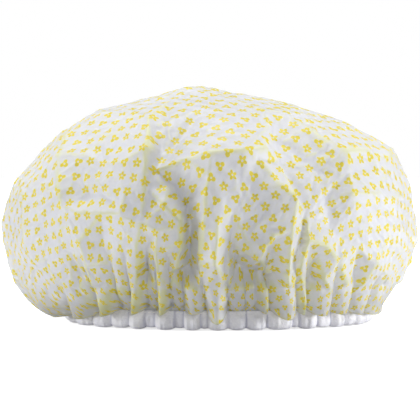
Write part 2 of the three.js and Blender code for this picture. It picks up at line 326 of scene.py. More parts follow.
CURVES = {}
for name in QUARTERS:
    axis = 0 if name in ("right", "left") else 1
    CURVES[name] = quarter_rows(name, DOME_HALF[axis], RIM_HALF[axis])


@functools.cache
def ring_rows(share):
    """Reach and height of each quarter at a ring, and the dome's shift there."""
    rows = {name: curve_through(curve, share) for name, curve in CURVES.items()}
    return rows, curve_through(SHIFTS, share)[0] * MM


def smooth_form(share, angle):
    """A point of the dome without folds."""
    across, along = math.cos(angle), math.sin(angle)
    right, back = (1 + across) / 2, (1 + along) / 2
    sideness = across**2
    row, shift = ring_rows(round(share, 5))
    side = [right * a + (1 - right) * b for a, b in zip(row["right"], row["left"])]
    face = [back * a + (1 - back) * b for a, b in zip(row["back"], row["front"])]
    height = sideness * side[1] + (1 - sideness) * face[1]
    return RIM_CENTRE + Vector((side[0] * across + shift, face[0] * along, height))


def outwards(share, angle):
    """The direction that the smooth form faces at a point."""
    small = 1e-3
    down = smooth_form(min(share + small, 1), angle) - smooth_form(max(share - small, 0), angle)
    round_it = smooth_form(share, angle + small) - smooth_form(share, angle - small)
    facing = down.cross(round_it)
    return facing.normalized() if facing.length > 1e-12 else Vector((0, 0, 1))


print("crown in mm:", [round(value / MM, 1) for value in smooth_form(0, 0)])


# %% Places beside the rim
def level_outwards(angle):
    """The level direction away from the rim's line."""
    return Vector((RIM_HALF.y * math.cos(angle), RIM_HALF.x * math.sin(angle), 0)).normalized()


def rim_point(angle, offset, height):
    """A point beside the rim's line, in metres from millimetres."""
    on_line = Vector((RIM_HALF.x * math.cos(angle), RIM_HALF.y * math.sin(angle), 0))
    return RIM_CENTRE + on_line + level_outwards(angle) * offset * MM + Vector((0, 0, height * MM))


def rim_offset(point):
    """How far a point lies outside the rim's line, and the level way out there."""
    x, y = point.x - RIM_CENTRE.x, point.y - RIM_CENTRE.y
    angle = math.atan2(y / RIM_HALF.y, x / RIM_HALF.x)
    on_line = Vector((RIM_HALF.x * math.cos(angle), RIM_HALF.y * math.sin(angle)))
    away = level_outwards(angle)
    return (x - on_line.x) * away.x + (y - on_line.y) * away.y, away


print("rim in mm:", [round(2 * half / MM) for half in RIM_HALF])

# %% [markdown]
# ## Creases of the crumpled film
#
# Thin film can't stretch, so spare film doesn't swell in soft waves. It breaks into nearly
# flat facets that meet in sharp creases. The facets could be left to a simulation, but then
# they wouldn't be those of this cap. So the main creases are drawn as lines of corners. On
# the front a corner is the pixel at which it shows, and on the sides and the back, which the
# photograph doesn't show, an angle and a ring.

# %% Creases
# each corner: pixel across, pixel down, rise out of the smooth form in mm
FRONT_CREASES = (
    # left: the edge's own crease, the side's border, and the shoulder with the hollow over it
    ((22, 195, 4), (25, 238, 4), (32, 262, 3)),
    ((45, 235, 0), (48, 262, 1), (56, 280, 2)),
    ((66, 134, 4), (60, 152, 5), (59, 188, 5), (63, 206, 4), (72, 225, 4), (81, 243, 5)),
    ((81, 243, 5), (88, 265, 5), (94, 285, 4)),
    ((76, 250, -4), (83, 272, -6), (87, 290, -5)),
    ((84, 130, 3), (84, 158, 0), (86, 182, -4), (92, 200, -5), (110, 200, -4)),
    ((63, 206, 4), (80, 214, 4), (104, 215, 4), (121, 213, 5)),
    ((104, 113, 5), (108, 138, 1), (106, 166, -4), (110, 200, -4)),
    ((121, 213, 5), (131, 229, 5), (138, 246, 4), (141, 264, 4), (139, 282, 0)),
    ((104, 240, -4), (112, 262, 1), (122, 280, -2)),
    # the band beside the crown, and the crease down its right side
    ((128, 130, 3), (126, 165, 3), (128, 196, 4), (121, 213, 5)),
    ((152, 120, 4), (147, 150, 7), (145, 186, 7), (144, 222, 6), (149, 248, -3), (148, 268, -12)),
    # the facet under the crown, and the valley that ends it
    ((172, 100, 1), (166, 130, -4), (160, 155, -8)),
    ((222, 95, 1), (206, 118, -5), (181, 147, -10), (155, 173, -3)),
    # the big pouch: its upper lip, its left hollow and the crease in front of it
    ((155, 173, -3), (182, 161, 4), (212, 153, 11), (240, 150, 12), (262, 148, 8)),
    ((155, 173, -3), (151, 190, 3), (166, 206, 5), (183, 221, 4), (181, 244, 3), (179, 266, 4)),
    ((172, 184, -10), (186, 203, -14), (191, 226, -18), (191, 262, -20)),
    ((160, 232, 5), (158, 250, 6), (160, 272, 3)),
    ((169, 255, -2), (172, 272, -4)),
    # the middle ridge and its tongue
    ((212, 153, 11), (208, 178, 9), (204, 200, 8), (202, 224, 7), (201, 262, 6)),
    ((220, 160, 9), (220, 190, 7), (217, 222, 9), (214, 262, 12)),
    ((220, 190, 7), (230, 213, 3), (243, 238, 1), (256, 260, 7)),
    ((229, 240, -8), (237, 262, -17), (248, 268, -16)),
    # the pouch's right side, down to the crossing of the folds
    ((262, 148, 8), (256, 160, 6), (270, 177, 5), (284, 188, 8), (294, 200, 10)),
    ((294, 200, 10), (290, 228, 10), (287, 262, 12), (284, 285, 9)),
    ((250, 185, 3), (258, 210, 1), (265, 228, 3)),
    ((288, 228, 9), (273, 233, 8), (264, 246, 7), (256, 260, 7)),
    ((271, 250, -3), (271, 272, -9)),
    ((301, 212, -5), (297, 238, -7), (292, 258, -2)),
    ((304, 241, 4), (300, 258, 3), (296, 275, 6)),
    # right: the plain facet with its upper edge, its left strip and its lower ridge
    ((265, 112, 4), (264, 132, 3), (262, 148, 8)),
    ((275, 112, 4), (271, 140, -2), (278, 166, -3), (301, 212, -5)),
    ((275, 112, 4), (286, 113, 5), (312, 132, 6), (345, 151, 7), (368, 152, 5), (390, 152, 4)),
    ((310, 165, -2), (322, 200, -6), (330, 232, -4)),
    ((345, 151, 7), (347, 176, 1), (350, 196, 4), (372, 197, 5), (394, 202, 4)),
    ((304, 241, 4), (322, 246, 5), (336, 262, 5), (343, 284, 3)),
    ((310, 254, -4), (308, 274, -9)),
    ((320, 275, 4), (326, 290, 3)),
    ((366, 172, 1), (384, 178, 4), (394, 202, 4), (388, 238, 4), (374, 262, 5), (358, 286, 4)),
    ((356, 225, -1), (352, 250, -2), (350, 272, -4)),
    ((401, 228, 3), (398, 252, 3), (386, 276, 3), (372, 296, 2)),
    ((376, 280, -3), (364, 296, -3)),
)
# pixels of the outline's corners, from the left round the top to the right
OUTLINE_CORNERS = (
    (14, 279), (5, 243), (4, 222), (9, 201), (17, 183), (40, 150), (63, 130), (84, 124),
    (101, 111), (145, 99), (185, 87), (203, 86), (241, 94), (289, 104), (343, 124),
    (392, 149), (408, 185), (415, 218), (415, 241), (410, 263), (402, 279), (391, 296),
)
OUTLINE_STRAY = 12 * MM  # they lie a little before and behind the middle, by turns
OUTLINE_SPREAD = 1.016  # the simulation draws the film in again by about as much
print("front creases:", len(FRONT_CREASES))

# %% Corners of the sides and the back
# each ring: its share, and the angle in degrees and rise in mm of each corner
HIDDEN_CORNERS = (
    (0.72, ((3, -4), (15, 5), (27, -6), (38, 6), (50, -6), (62, 7), (74, -6), (86, 7))),
    (0.72, ((98, -7), (110, 5), (122, -6), (133, 7), (145, -6), (157, 5), (169, -5))),
    (0.52, ((15, 4), (27, -4), (50, -6), (62, 6), (86, 6), (98, -7), (122, -5), (133, 7))),
    (0.52, ((157, 4), (169, -4))),
    (0.42, ((27, 4), (50, -4), (74, 6), (98, -5), (122, 6), (145, -5), (163, 3))),
    (0.31, ((38, 3), (62, -4), (86, 4), (116, -4), (145, 3))),
    (0.16, ((40, -2), (85, 2), (140, -2))),
)
print("hidden corners:", sum(len(ring) for _, ring in HIDDEN_CORNERS))

# %% [markdown]
# ## Gathers at the rim
#
# Along the elastic the film is drawn in to a third of its length. It leaves the seam in deep
# pleats. Between two valleys, where it is sewn down, it swells into a rounded tongue that
# hangs over the tape. The front ones are placed by the pixels of their valleys.

# %% Pleats
# Each tongue or recess of the front: the pixel where it begins at the tape and 40 mm higher,
# how deep the valley there is, as a share of the way back to the rim's line, how far it stands
# out and hangs down, in mm, how far it is recessed as a whole, and the ring share at its top
FRONT_PLEATS = (
    (72, 50, 0.3, 3, 4, 0.0, 0.8), (99.5, 84, 0.7, 4, 2, 0.0, 0.8),
    (117, 112, 0.7, 0, -4, 0.75, 0.84), (131, 127, 0.7, 5, 1, 0.0, 0.8),
    (144, 144, 0.9, 0, -5, 0.85, 0.78), (158, 155, 0.8, 6, 2, 0.0, 0.76),
    (170, 167, 0.9, 0, -4, 0.8, 0.8), (183, 181, 0.8, 5, 2, 0.0, 0.76),
    (206, 201, 0.4, 9, 9, 0.0, 0.7), (228, 224, 1.0, 0, 0, 0.75, 0.74),
    (246, 243, 0.9, 0, -4, 0.9, 0.76), (256, 256, 0.9, 6, 1, 0.0, 0.74),
    (267, 268, 1.0, 10, 6, 0.0, 0.7), (294, 292, 0.8, 3, 2, 0.0, 0.82),
    (303, 307, 1.0, 6, 3, 0.0, 0.76), (326, 334, 0.5, 4, 2, 0.0, 0.76),
    (344, 356, 0.5, 5, 2, 0.0, 0.74), (358, 378, 0.5, 5, 2, 0.0, 0.74),
)
HIDDEN_PLEATS = 19
HIDDEN_RANGES = ((0.3, 0.7), (2, 4.5), (1, 3), (0.68, 0.8))  # of depth, out, down and top
HIDDEN_SWAY = 0.28  # how uneven their pitch is
BRIM = 6 * MM  # the tongues' rough distance from the rim's line
SEED = 4
random.seed(SEED)


def ring_angle(pixel_across, middle, half):
    """The angle round a ring at which its front shows at a pixel."""
    across = AIM.x + (pixel_across - IMAGE / 2) * PIXEL - middle
    return FULL_TURN - math.acos(across / half)


def rim_angle(pixel_across):
    """The angle at which the tape's front shows at a pixel."""
    return ring_angle(pixel_across, RIM_CENTRE.x, RIM_HALF.x + BRIM)


pleats = []  # (angle at the tape, depth, out, down, recess, top share)
for at_tape, _, *size in FRONT_PLEATS:
    pleats.append((rim_angle(at_tape), *size))
last_front = pleats[-1][0]
hidden_pitch = (pleats[0][0] + FULL_TURN - last_front) / HIDDEN_PLEATS
for i in range(1, HIDDEN_PLEATS):
    angle = last_front + (i + HIDDEN_SWAY * math.sin(2.4 * i)) * hidden_pitch
    depth, out, down, top = (random.uniform(*bounds) for bounds in HIDDEN_RANGES)
    pleats.append((angle, depth, out, down, 0.0, top))
print("pleats:", len(pleats))

# %% Valleys between the pleats
# how far a valley has come from its place higher up to that at the tape, by ring share
VALLEY_WAYS = (
    (0.0, 0.0), (0.7, 0.0), (0.76, 0.0), (0.83, 0.45), (0.9, 0.87), (0.95, 1.0), (1.02, 1.0),
)
FIRST_PLEATED_SHARE = 0.66  # there are no pleats nearer to the crown


@functools.cache
def valley_angles(share):
    """The angles of the valleys at a ring, rising, from the first front one on."""
    way = min(max(curve_through(VALLEY_WAYS, share)[0], 0.0), 1.0)
    rows, shift = ring_rows(max(share, FIRST_PLEATED_SHARE))
    made = [pleat[0] for pleat in pleats]
    for i, (at_tape, higher, *_) in enumerate(FRONT_PLEATS):
        pixel = way * at_tape + (1 - way) * higher
        side = "right" if pixel > IMAGE / 2 else "left"
        half = max(rows[side][0], RIM_HALF.x + BRIM)
        made[i] = ring_angle(pixel, RIM_CENTRE.x + shift, half)
    return made


def pleat_at(share, angle):
    """The pleat at a place, the depth of its nearer valley, and the place in it from -1 to 1."""
    valleys = valley_angles(round(share, 5))
    angle = valleys[0] + (angle - valleys[0]) % FULL_TURN
    i = bisect.bisect_right(valleys, angle) - 1
    after = (i + 1) % len(pleats)
    wide = (valleys[after] - valleys[i]) % FULL_TURN
    place = 2 * (angle - valleys[i]) / wide - 1
    return pleats[i], (pleats[i][1] if place < 0 else pleats[after][1]), place


print("valleys at the seam:", len(valley_angles(SEAM_SHARE)))

# %% How a pleat moves the film
# how far a full valley goes back to the rim's line, by ring share
VALLEY_SHARES = ((0.68, 0.0), (0.76, 0.22), (0.83, 0.5), (0.9, 0.75), (0.945, 0.86), (1.0, 0.86))
VALLEY_LIFT = 5.0 * MM  # how much higher the film passes over the tape in a valley
OVER_TAPE_SHARE = 0.972  # the film's last ring that is free of the tape's grip
RECESS_EASE = 0.06  # ring shares over which a recess deepens
HANG_SHARE, HANG_SPREAD = 0.948, 0.022  # where a tongue hangs lowest, and how far about it
SIDE_HANG_LOSS = 0.6  # tongues at the sides hang less, by up to this share


def gather(share, angle, offset):
    """How the pleats move a point that lies offset outside the rim: out and down, in metres."""
    (*_, out, down, recess, top_share), depth, place = pleat_at(share, angle)
    narrow = 0.5 * ease(0.84, 0.95, share)  # a tongue gets narrower towards the tape
    tube = (1 - abs(place) ** (2.4 - narrow)) ** (0.7 + 0.3 * narrow)
    free = ease(SEAM_SHARE, OVER_TAPE_SHARE, share)
    stands_out = out * MM * tube * free * ease(top_share, 0.9, share)
    begun = ease(FIRST_PLEATED_SHARE, 0.72, share)
    back = max(0.0, curve_through(VALLEY_SHARES, share)[0]) * begun
    inwards = max(depth * (1 - tube), recess * ease(top_share, top_share + RECESS_EASE, share))
    low = math.exp(-(((share - HANG_SHARE) / HANG_SPREAD) ** 2))
    hang = down * MM * tube * low * (1 - SIDE_HANG_LOSS * math.cos(angle) ** 2)
    lift = VALLEY_LIFT * depth * (1 - tube) * ease(0.975, 0.93, share) * ease(0.86, 0.93, share)
    return stands_out - offset * back * inwards * free, hang - lift


print("move at the first valley, mm:", round(gather(0.9, pleats[0][0], 10 * MM)[0] / MM, 1))

# %% [markdown]
# ## The film as a flat disc
#
# The film was cut as one flat disc. A fan of triangles from its middle would be crowded
# there, so its mesh starts as a grid whose squares are pushed into a circle. The place in
# the flat disc is kept as the UV map, and so the print lies on the film as it was printed,
# before it was gathered.

# %% Flat disc
GRID = 300  # squares across it
FLAT_RADIUS = 268 * MM


def square_to_disc(x, y):
    """Concentric map of a square from -1 to 1 onto a disc of radius 1."""
    if x == 0 and y == 0:
        return Vector((0, 0, 0))
    if abs(x) >= abs(y):
        radius, angle = x, math.pi / 4 * y / x
    else:
        radius, angle = y, math.pi / 2 - math.pi / 4 * x / y
    return Vector((radius * math.cos(angle), radius * math.sin(angle), 0))


def flat_disc(name, grid):
    """A mesh of a disc of radius 1, with its flat place as the UV map."""
    shape = bmesh.new()
    bmesh.ops.create_grid(shape, x_segments=grid, y_segments=grid, size=1.0, calc_uvs=True)
    layer = shape.loops.layers.uv.verify()
    for vertex in shape.verts:
        vertex.co = square_to_disc(vertex.co.x, vertex.co.y)
        for corner in vertex.link_loops:
            corner[layer].uv = (0.5 + vertex.co.x / 2, 0.5 + vertex.co.y / 2)
    return new_piece(name, shape)


def share_and_angle(flat):
    """The ring share and the angle of a place in the flat disc."""
    return min(flat.length, 1.0), math.atan2(flat.y, flat.x)


film = flat_disc("film", GRID)
film_flat = [vertex.co.copy() for vertex in film.data.vertices]
film_smooth = [smooth_form(*share_and_angle(flat)) for flat in film_flat]
print("film:", len(film_flat), "vertices")

# %% [markdown]
# ## The facets
#
# Each corner of a crease needs a place in the flat disc and one in space. A corner that the
# photograph shows is looked up: of the smooth form's points, the one that shows at its pixel
# once it is lifted. A triangulation of the flat places, which keeps the creases as edges,
# then gives the facets between them.

# %% Corners in the flat disc and in space
LOOKUPS = 4  # of a corner, each from where the one before it showed
seen_points, in_space = KDTree(len(film_flat)), KDTree(len(film_flat))
for index, point in enumerate(film_smooth):
    in_space.insert(point, index)
    if point.y < 0:
        seen_points.insert(pixel_of(point), index)
seen_points.balance()
in_space.balance()


def lifted(share, angle, rise):
    """A corner of a facet, as its flat place and its place in space."""
    flat = Vector((share * math.cos(angle), share * math.sin(angle)))
    share = min(share, 1.0)
    return flat, smooth_form(share, angle) + outwards(share, angle) * rise


def at_pixel(across, down, depth):
    """The point in space that shows at a pixel, for its depth behind the cap's middle."""
    up = (IMAGE / 2 - down) * PIXEL
    height = AIM.z + (up - depth * math.sin(TILT)) / math.cos(TILT)
    return Vector((AIM.x + (across - IMAGE / 2) * PIXEL, AIM.y + depth, height))


def shown_at(across, down, rise):
    """A corner that shows at a pixel once it is lifted. Its lift also moves it in the picture."""
    target = Vector((across, down, 0))
    aim = target.copy()
    for _ in range(LOOKUPS):
        index = seen_points.find(aim)[1]
        flat, point = lifted(*share_and_angle(film_flat[index]), rise * MM)
        aim += target - pixel_of(point)
    return flat, point


corners = []  # (flat place, place in space)
for i, (across, down) in enumerate(OUTLINE_CORNERS):
    across = IMAGE / 2 + (across - IMAGE / 2) * OUTLINE_SPREAD
    down = IMAGE / 2 + (down - IMAGE / 2) * OUTLINE_SPREAD
    point = at_pixel(across, down, OUTLINE_STRAY if i % 2 else -OUTLINE_STRAY)
    corners.append((film_flat[in_space.find(point)[1]].xy, point))
edges = []
numbers = {}  # of the corners that more than one crease shares
for crease in FRONT_CREASES:
    for corner in crease:
        if corner not in numbers:
            numbers[corner] = len(corners)
            corners.append(shown_at(*corner))
    edges += [(numbers[a], numbers[b]) for a, b in zip(crease, crease[1:])]
for share, ring in HIDDEN_CORNERS:
    for degrees, rise in ring:
        corners.append(lifted(share, math.radians(degrees), rise * MM))
EDGE_RINGS = (0.83, 0.9, 0.945, 0.97, SEAM_SHARE, 1.0, 1.01)
EDGE_CORNERS = 120  # on each of these rings, which have no facets
for ring in EDGE_RINGS:
    for i in range(EDGE_CORNERS):
        corners.append(lifted(ring, FULL_TURN * i / EDGE_CORNERS, 0.0))
print("corners:", len(corners))

# %% Net of facets
WHOLE_HULL = 0  # the kind of net: triangles all the way out
SAME_PLACE = 1e-6  # corners nearer to each other than this are one
flat_corners = [flat for flat, _ in corners]
net = delaunay_2d_cdt(flat_corners, edges, [], WHOLE_HULL, SAME_PLACE)
places, _, net_faces, origins, *_ = net
net_flat = [Vector((place.x, place.y, 0)) for place in places]
net_lifted = []
for place, origin in zip(net_flat, origins):
    if not origin:  # a new corner where two creases cross
        origin = [min(range(len(corners)), key=lambda k: (corners[k][0] - place.xy).length)]
    net_lifted.append(corners[origin[0]][1])
facets = BVHTree.FromPolygons(net_flat, net_faces)
print("facets:", len(net_faces))

# %% [markdown]
# ## The film before it is simulated
#
# For the start of the simulation each vertex is lifted onto its facet, and the pleats are
# added. The facets end in a soft change to the smooth form above the tape, because the
# pleats take over there.

# %% Start form
FACETS_END, SMOOTH_FROM = 0.8, 0.9  # ring shares


def start_form(index):
    """Where a vertex of the film begins the simulation."""
    flat = film_flat[index]
    share, angle = share_and_angle(flat)
    face = net_faces[facets.find_nearest(flat)[2]]
    on_facet = barycentric_transform(
        flat, *[net_flat[k] for k in face], *[net_lifted[k] for k in face]
    )
    whole = film_smooth[index].lerp(on_facet, ease(SMOOTH_FROM, FACETS_END, share))
    move, hang = gather(share, angle, rim_offset(film_smooth[index])[0])
    return whole + level_outwards(angle) * move - Vector((0, 0, hang))


film_start = [start_form(index) for index in range(len(film_flat))]
lowest = min(point.z for point in film_start)
print("lowest point before the simulation, mm:", round(lowest / MM, 1))

# %% [markdown]
# ## Simulating the film
#
# In the cloth simulation the flat disc is the film's rest shape, and the start form is what
# it is forced into. The film wants back to its own lengths, and buckles: small wrinkles
# appear between the facets, as on the real one. The edge is held by the tape. The simulation
# runs without weight, with a breath of pressure that keeps the dome up, on a mesh half as
# fine, and the fine one follows it.

# %% Cloth simulation
FRAMES = 16


def simulate(piece, flat, start):
    """Lets a gathered disc find its wrinkles, and gives its vertices."""
    piece.shape_key_add(name="gathered")
    rest = piece.shape_key_add(name="flat")
    for index, point in enumerate(start):
        piece.data.shape_keys.key_blocks[0].data[index].co = point
        rest.data[index].co = flat[index] * FLAT_RADIUS
    held = piece.vertex_groups.new(name="held")
    for index, place in enumerate(flat):
        held.add([index], 1.0 if place.length > SEAM_SHARE else 0.0, "REPLACE")
    cloth = piece.modifiers.new("cloth", "CLOTH")
    settings = cloth.settings
    settings.quality = 6
    settings.mass = 0.01
    settings.tension_stiffness = settings.compression_stiffness = 5
    settings.shear_stiffness = 1
    settings.bending_stiffness = 0.005
    settings.tension_damping = settings.compression_damping = settings.shear_damping = 0.5
    settings.air_damping = 0.2
    settings.vertex_group_mass = held.name
    settings.rest_shape_key = rest
    settings.use_pressure = True
    settings.uniform_pressure_force = 0.4
    settings.effector_weights.gravity = 0
    cloth.collision_settings.use_collision = False
    cloth.point_cache.frame_end = FRAMES
    for number in range(1, FRAMES + 1):
        bpy.context.scene.frame_set(number)
    evaluated = piece.evaluated_get(bpy.context.evaluated_depsgraph_get())
    result = [vertex.co.copy() for vertex in evaluated.data.vertices]
    piece.modifiers.remove(cloth)
    piece.shape_key_clear()
    piece.vertex_groups.clear()
    bpy.context.scene.frame_set(1)
    return result


print("frames to simulate:", FRAMES)

# %% The moves that it makes


def simulated_moves():
    """How far the simulation moves each vertex of the film, from a mesh half as fine."""
    coarse = flat_disc("coarse_film", GRID // 2)
    row, coarse_row = GRID + 1, GRID // 2 + 1
    chosen = [2 * (i * row + j) for i in range(coarse_row) for j in range(coarse_row)]
    start = [film_start[index] for index in chosen]
    result = simulate(coarse, [film_flat[index] for index in chosen], start)
    bpy.data.objects.remove(coarse)
    moves = [after - before for after, before in zip(result, start)]
    made = []
    for i in range(row):
        for j in range(row):
            near = {(a, b) for a in (i // 2, (i + 1) // 2) for b in (j // 2, (j + 1) // 2)}
            total = sum((moves[a * coarse_row + b] for a, b in near), Vector())
            made.append(total / len(near))
    print("moved, mm: mean", round(sum(move.length for move in moves) / len(moves) / MM, 2))
    return made


film_points = [point.copy() for point in film_start]
film_points = [point + move for point, move in zip(film_start, simulated_moves())]

# %% [markdown]
# ## The film lies over the tape
#
# The simulation knows nothing of the tape. Its own collisions could be turned on, but the
# gathers are too tight for them. So where a tongue would cut into the tape or hang below the
# floor, its points are moved out to where the tape's outside is. A tongue goes down over the
# tape and back up behind itself to the seam, and its front layer is kept further out.

# %% Film clear of the tape
TAPE_REACH = 7.4  # of the tape's lobes, from the rim's line, with the film's gap, in mm
TAPE_TOP_REACH = 2.9
LAYER_REACH = 1.4  # how much further out the film's front layer lies than the one behind it
FLOOR_GAP = 2.0
LAYER_SHARES = (0.965, 0.93)  # ring shares between which the front layer begins
NARROWING = (11.5, 15.0)  # mm above the floor, where the tape narrows to its top
LET_GO = (16.4, 14.8)  # mm above the floor, between which the film is let go of the tape
HIGHEST_PUSHED = 20  # mm above the floor; points above it are left alone

for flat, point in zip(film_flat, film_points):
    if flat.length > SEAM_SHARE or point.z > HIGHEST_PUSHED * MM:
        continue
    point.z = max(point.z, FLOOR_GAP * MM)
    offset, away = rim_offset(point)
    taper = ease(*NARROWING, point.z / MM)
    layer = LAYER_REACH * ease(*LAYER_SHARES, flat.length)
    needed = (TAPE_REACH + (TAPE_TOP_REACH - TAPE_REACH) * taper + layer) * MM
    needed *= ease(*LET_GO, point.z / MM)
    if offset < needed:
        point += away * (needed - offset)

for vertex, point in zip(film.data.vertices, film_points):
    vertex.co = point
low = Vector([min(point[k] for point in film_points) for k in range(3)])
high = Vector([max(point[k] for point in film_points) for k in range(3)])
print("film box in mm:", [round(value / MM, 1) for value in (*low, *high)])

# %% [markdown]
# ## Sharp folds
#
# On a sharp fold the film shows a thin bright line, and one looks through the printed film
# edge on, so the ink's yellow comes through it. Both are painted into its colour, as a
# yellowish painted highlight. The material can't see how the film is folded. So each vertex
# gets a number, 1 on a sharp fold: how far it stands out from the middle of its neighbours
# on the grid.

# %% Folds as an attribute
FOLD_SPAN = 2  # grid steps from a vertex to the neighbours that it is compared with
# a fold that stands out this far gets the full painted highlight
SHARP_FOLD = 1.0 * MM  # a fold that stands out this far from them has the full tint
fold = film.data.attributes.new("fold", "FLOAT", "POINT")
ROW = GRID + 1
for index, vertex in enumerate(film.data.vertices):
    column, row = index % ROW, index // ROW
    if not FOLD_SPAN <= min(column, row) <= max(column, row) < ROW - FOLD_SPAN:
        continue
    along = film_points[index - FOLD_SPAN] + film_points[index + FOLD_SPAN]
    across = film_points[index - FOLD_SPAN * ROW] + film_points[index + FOLD_SPAN * ROW]
    stands_out = (vertex.co - (along + across) / 4).dot(vertex.normal)
    fold.data[index].value = ease(0.2, 1.0, stands_out / SHARP_FOLD)
print("folded share:", round(sum(item.value for item in fold.data) / len(fold.data), 3))

# %% [markdown]
# ## Printed film, its material
#
# The film is EVA or polyethylene, blown thin and printed in one colour. It is milky: light
# comes through it, its own shine is a soft one, and a second layer behind shows faintly.
# The print is a scatter of small yellow blossoms, about 5 mm wide. Their middles lie on a
# slanting lattice in the flat disc, and each blossom has its own turn. A Voronoi texture
# with little randomness gives the lattice, and the petals are a cosine of the angle.

# %% Blossoms of the print
BLOSSOM_PITCH = 9.9  # mm
BLOSSOM_RADIUS = 3.3  # mm
LATTICE_TURN = math.radians(33)
LATTICE_SQUEEZE = 0.92  # of the lattice the other way
PETAL_WAIST = 0.42  # how far a blossom reaches between two petals, as a share of its radius
EYE_EDGE = (0.05, 0.075)  # its white eye ends here, in pitches
INK_EDGE = (-0.01, 0.015)  # and its petals so much about their outline

film_paint, tree = new_material("printed_milky_eva_film")
flat_place = add_node(tree, "UVMap", uv_map=film.data.uv_layers[0].name)
to_cells = 2 * FLAT_RADIUS / MM / BLOSSOM_PITCH
cells = add_node(
    tree,
    "Mapping",
    {
        "Vector": flat_place,
        "Rotation": (0, 0, LATTICE_TURN),
        "Scale": (to_cells, to_cells * LATTICE_SQUEEZE, 1),
    },
)
lattice = add_node(
    tree,
    "TexVoronoi",
    {"Vector": cells, "Scale": 1.0, "Randomness": 0.18},
    voronoi_dimensions="2D",
)
from_middle = add_node(
    tree, "VectorMath", {0: cells, 1: lattice.outputs["Position"]}, operation="SUBTRACT"
)
parts = add_node(tree, "SeparateXYZ", {0: from_middle})
distance = add_node(tree, "VectorMath", {0: from_middle}, operation="LENGTH")
luck = add_node(tree, "SeparateColor", {0: lattice.outputs["Color"]})
turn = add_node(tree, "Math", {0: parts.outputs[1], 1: parts.outputs[0]}, operation="ARCTAN2")
own_turn = add_node(
    tree, "Math", {0: luck.outputs[0], 1: FULL_TURN, 2: turn}, operation="MULTIPLY_ADD"
)
# half of the blossoms have five petals, the others three
five = add_node(tree, "Math", {0: luck.outputs[1], 1: 0.5}, operation="GREATER_THAN")
half_petals = add_node(tree, "Math", {0: five, 1: 1.0, 2: 1.5}, operation="MULTIPLY_ADD")
swing = add_node(tree, "Math", {0: own_turn, 1: half_petals}, operation="MULTIPLY")
wave = add_node(tree, "Math", {0: swing}, operation="COSINE")
lobe = add_node(tree, "Math", {0: wave}, operation="ABSOLUTE")
petal_reach = BLOSSOM_RADIUS / BLOSSOM_PITCH
outline = add_node(tree, "MapRange", {0: lobe, 3: PETAL_WAIST * petal_reach, 4: petal_reach})
edge = add_node(tree, "Math", {0: outline, 1: distance.outputs["Value"]}, operation="SUBTRACT")
petals = add_node(tree, "MapRange", {0: edge, 1: INK_EDGE[0], 2: INK_EDGE[1]})
eye = add_node(tree, "MapRange", {0: distance.outputs["Value"], 1: EYE_EDGE[0], 2: EYE_EDGE[1]})
ink = add_node(tree, "Math", {0: petals, 1: eye}, operation="MULTIPLY")
print("blossoms across the disc:", round(to_cells))

# %% Colours of the film
FILM_WHITE = linear("#E9EBF3")
# painted light: the film's white is lighter towards the rim, in the gathers, for the light that
# comes back there
FILM_LIT_NEAR_RIM = linear("#EDEFF6")  # in the gathers, where the light comes back off the ink
# painted highlight, yellowish, on sharp folds
FOLD_HIGHLIGHT = linear("#F0F2C4")  # on a sharp fold, seen through the printed film edge on
PRINT_YELLOW = linear("#ECDB4A")
# where the painted rim light begins and ends
GATHERS = (0.2, 0.44)  # where the change to the gathers' white begins and ends, in the UV map

from_crown = add_node(tree, "VectorMath", {0: flat_place, 1: (0.5, 0.5, 0)}, operation="DISTANCE")
# painted light: its share grows from the crown out to the gathers
gathered = add_node(
    tree, "MapRange", {0: from_crown.outputs["Value"], 1: GATHERS[0], 2: GATHERS[1]}
)
# the film's white, with painted light towards the rim
milk_with_rim_light = add_node(tree, "Mix", {0: gathered, 6: FILM_WHITE, 7: FILM_LIT_NEAR_RIM}, data_type="RGBA")
# a yellowish painted highlight on the sharp folds
folds = add_node(tree, "Attribute", attribute_name="fold")
fold_highlighted = add_node(
    tree, "Mix", {0: folds.outputs["Fac"], 6: milk_with_rim_light.outputs[2], 7: FOLD_HIGHLIGHT}, data_type="RGBA"
)
colour = add_node(tree, "Mix", {0: ink, 6: fold_highlighted.outputs[2], 7: PRINT_YELLOW}, data_type="RGBA")
print("film colours:", len((FILM_WHITE, FILM_LIT_NEAR_RIM, FOLD_HIGHLIGHT, PRINT_YELLOW)))

# %% Crinkles, shine and the light that comes through
CRINKLE = 14.0  # mm across the small facets of the crinkled film
CRINKLE_DEPTH = 1.0 * MM
LIGHT_THROUGH = 0.3  # share of the light that the milky film lets through, softened
CLOUDED, INKED = 0.72, 0.95  # how much of what is behind the plain and the inked film hides

crinkle_place = add_node(
    tree, "Mapping", {"Vector": flat_place, "Scale": (2 * FLAT_RADIUS / MM / CRINKLE,) * 3}
)
crinkles = add_node(
    tree,
    "TexVoronoi",
    {"Vector": crinkle_place, "Scale": 1.0, "Detail": 1.0},
    voronoi_dimensions="2D",
    distance="MANHATTAN",
)
relief = add_node(
    tree,
    "Bump",
    {"Strength": 0.5, "Distance": CRINKLE_DEPTH, "Height": crinkles.outputs["Distance"]},
)
plastic = add_node(
    tree,
    "BsdfPrincipled",
    {
        "Base Color": colour.outputs[2],
        "Roughness": 0.44,
        "IOR": 1.49,
        "Specular IOR Level": 0.4,
        "Normal": relief,
    },
)
through = add_node(tree, "BsdfTranslucent", {"Color": colour.outputs[2], "Normal": relief})
milky = add_node(tree, "MixShader", {0: LIGHT_THROUGH, 1: plastic, 2: through})
clear = add_node(tree, "BsdfTransparent")
density = add_node(tree, "MapRange", {0: ink, 3: CLOUDED, 4: INKED})
sheet_look = add_node(tree, "MixShader", {0: density, 1: clear, 2: milky})
add_node(tree, "OutputMaterial", {"Surface": sheet_look})
film.data.materials.append(film_paint)

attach(film, "root")
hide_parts("printed_film")
print("film material:", film_paint.name)

